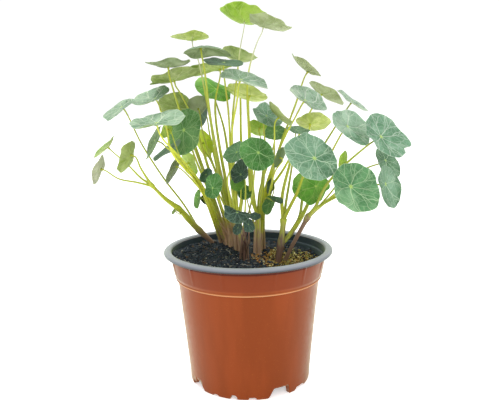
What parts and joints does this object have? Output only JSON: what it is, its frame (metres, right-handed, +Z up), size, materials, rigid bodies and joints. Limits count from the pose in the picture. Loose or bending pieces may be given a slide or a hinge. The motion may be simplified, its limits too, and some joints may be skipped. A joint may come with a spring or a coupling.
{
  "type": "potted nasturtium plant",
  "caption": "Young nasturtium plant with round shield leaves on thin stalks, growing in a tapered plastic nursery pot filled with peat.",
  "frame": {"origin": "on the pot's axis, in the plane its feet stand on, which is also the middle of the plant's footprint", "axes": "+Z up along the pot's axis, -Y the front, where the low leaves hang forward, +X to the right as seen from the front"},
  "size_m": [0.2304, 0.1584, 0.2887],
  "materials": {
    "pot_plastic": "satin terracotta-coloured plastic, slightly translucent, grey-blue on the rolled lip and dark inside",
    "peat": "dark moist peat, matt, with fibres",
    "moss": "matt yellow-green moss grains",
    "stem": "fresh stems, yellow-green above, purple-brown at the base",
    "blade_bluish": "waxy bluish green upper face with pale veins",
    "blade_green": "waxy mid-green upper face with pale veins",
    "blade_dark": "waxy dark teal face in shade",
    "blade_lime_underside": "bright lime underside, light through it",
    "blade_olive_underside": "dull olive underside with raised veins"
  },
  "bodies": {
    "root": {"pot": "pot_plastic", "soil": "peat", "moss": "moss", "shoot_trailing": "stem", "shoot_left_front": "stem", "shoot_left_back": "stem", "shoot_centre_left": "stem", "shoot_centre_back": "stem", "shoot_centre": "stem", "shoot_front": "stem", "shoot_centre_right": "stem", "shoot_right_back": "stem", "shoot_right": "stem", "shoot_outer_right": "stem", "leaf_top_1": "blade_lime_underside", "leaf_top_2": "blade_olive_underside", "leaf_top_3": "blade_lime_underside", "leaf_crown_1": "blade_olive_underside", "leaf_crown_2": "blade_olive_underside", "leaf_crown_3": "blade_dark", "leaf_crown_4": "blade_olive_underside", "leaf_crown_5": "blade_olive_underside", "leaf_crown_6": "blade_lime_underside", "leaf_crown_7": "blade_green", "leaf_crown_8": "blade_bluish", "leaf_crown_9": "blade_lime_underside", "leaf_middle_1": "blade_bluish", "leaf_middle_2": "blade_olive_underside", "leaf_middle_3": "blade_lime_underside", "leaf_middle_4": "blade_lime_underside", "leaf_middle_5": "blade_green", "leaf_middle_6": "blade_green", "leaf_middle_7": "blade_dark", "leaf_front_1": "blade_bluish", "leaf_front_2": "blade_green", "leaf_front_3": "blade_green", "leaf_front_4": "blade_green", "leaf_front_5": "blade_dark", "leaf_left_1": "blade_bluish", "leaf_left_2": "blade_green", "leaf_left_3": "blade_olive_underside", "leaf_left_4": "blade_olive_underside", "leaf_left_5": "blade_dark", "leaf_left_6": "blade_olive_underside", "leaf_left_7": "blade_dark", "leaf_left_8": "blade_olive_underside", "leaf_left_9": "blade_lime_underside", "leaf_left_10": "blade_lime_underside", "leaf_outer_left_1": "blade_lime_underside", "leaf_outer_left_2": "blade_lime_underside", "leaf_outer_left_3": "blade_olive_underside", "leaf_outer_left_4": "blade_bluish", "leaf_outer_left_5": "blade_bluish", "leaf_right_1": "blade_bluish", "leaf_right_2": "blade_olive_underside", "leaf_right_3": "blade_olive_underside", "leaf_right_4": "blade_bluish", "leaf_right_5": "blade_bluish", "leaf_right_6": "blade_bluish", "leaf_right_7": "blade_bluish"}
  },
  "joints": []
}
